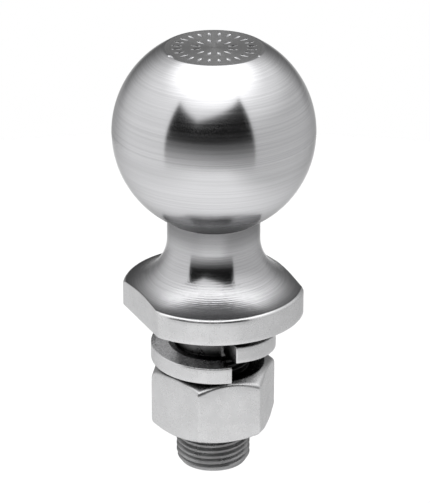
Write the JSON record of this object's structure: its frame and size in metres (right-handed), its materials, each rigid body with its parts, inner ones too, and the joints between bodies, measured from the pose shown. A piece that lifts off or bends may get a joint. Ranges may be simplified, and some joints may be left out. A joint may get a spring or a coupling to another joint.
{
  "type": "trailer hitch ball",
  "caption": "Trailer hitch ball with a conical flange, wrench flats and a threaded shank, with its split lock washer and hex nut.",
  "frame": {"origin": "centre of the flange's seat, on the shank's axis, in the plane that bears on a draw bar", "axes": "+Z along the shank's axis towards the ball; +X is the outward normal of one wrench flat"},
  "size_m": [0.0508, 0.0508, 0.1126],
  "materials": {
    "turned_steel": "turned and bright plated, fine rings round the axis",
    "spring_steel": "bright plated spring steel with sheared ends",
    "plated_nut": "satin plated, chamfered corners"
  },
  "bodies": {
    "stud": {"ball_stud": "turned_steel"},
    "washer": {"lock_washer": "spring_steel"},
    "nut": {"hex_nut": "plated_nut"}
  },
  "joints": [
    {"name": "nut_travel", "type": "slide", "parent": "stud", "child": "washer", "axis": [0, 0, -1], "range_m": [-0.0038, 0.0391]},
    {"name": "nut_spin", "type": "hinge", "parent": "washer", "child": "nut", "pos_m": [0, 0, -0.0234], "axis": [0, 0, -1], "range_deg": [-850, 8820]}
  ],
  "couplings": [
    {"joint": "nut_travel", "follows": "nut_spin", "m_per_rad": 0.00025266}
  ]
}
